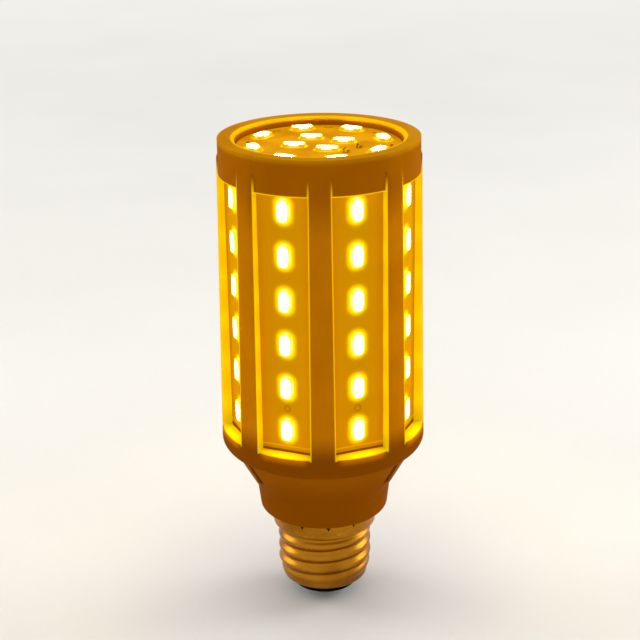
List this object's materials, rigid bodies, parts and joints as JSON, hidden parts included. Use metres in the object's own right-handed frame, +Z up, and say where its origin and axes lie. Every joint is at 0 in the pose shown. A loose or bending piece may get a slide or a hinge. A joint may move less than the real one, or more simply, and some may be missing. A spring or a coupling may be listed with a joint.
{
  "type": "colour changing led bulb",
  "caption": "Corn-style LED bulb: LED strips behind the windows of a moulded cage, a round LED board in its open top, a flared cup and an Edison screw cap.",
  "frame": {"origin": "tip of the centre contact, on the bulb's axis", "axes": "+Z up the axis, from the screw cap to the round LED board; -Y through the pillar that faces the viewer"},
  "size_m": [0.056, 0.056, 0.1331],
  "materials": {
    "cage_plastic": "satin moulded, lit amber by the LEDs",
    "cup_plastic": "satin moulded, lit amber by the LEDs",
    "shell_metal": "nickel plated sheet",
    "insulator_black": "glossy",
    "contact_metal": "plain",
    "led_board_mask": "smooth solder mask, lit amber",
    "led_package": "lit",
    "solder": "bright",
    "driver_laminate": "satin",
    "can_sleeve": "shrink sleeve",
    "film_case": "dipped",
    "chip_epoxy": "moulded",
    "ferrite": "matt",
    "resistor_coat": "lacquered",
    "wire_red": "smooth",
    "wire_black": "smooth"
  },
  "bodies": {
    "root": {"window_cage": "cage_plastic", "base_cup": "cup_plastic", "screw_shell": "shell_metal", "cap_insulator": "insulator_black", "centre_contact": "contact_metal", "top_led_board": "led_board_mask", "top_outer_leds": "led_package", "top_inner_leds": "led_package", "supply_solder": "solder", "driver_board": "driver_laminate", "electrolytic_capacitor": "can_sleeve", "film_capacitor": "film_case", "bridge_rectifier": "chip_epoxy", "driver_chip": "chip_epoxy", "inductor": "ferrite", "fuse_resistor": "resistor_coat", "live_wire": "wire_red", "neutral_wire": "wire_black", "supply_wire_1": "wire_red", "supply_wire_2": "wire_black", "side_led_board_1": "led_board_mask", "side_leds_1": "led_package", "side_led_board_2": "led_board_mask", "side_leds_2": "led_package", "side_led_board_3": "led_board_mask", "side_leds_3": "led_package", "side_led_board_4": "led_board_mask", "side_leds_4": "led_package", "side_led_board_5": "led_board_mask", "side_leds_5": "led_package", "side_led_board_6": "led_board_mask", "side_leds_6": "led_package", "side_led_board_7": "led_board_mask", "side_leds_7": "led_package", "side_led_board_8": "led_board_mask", "side_leds_8": "led_package"}
  },
  "joints": []
}
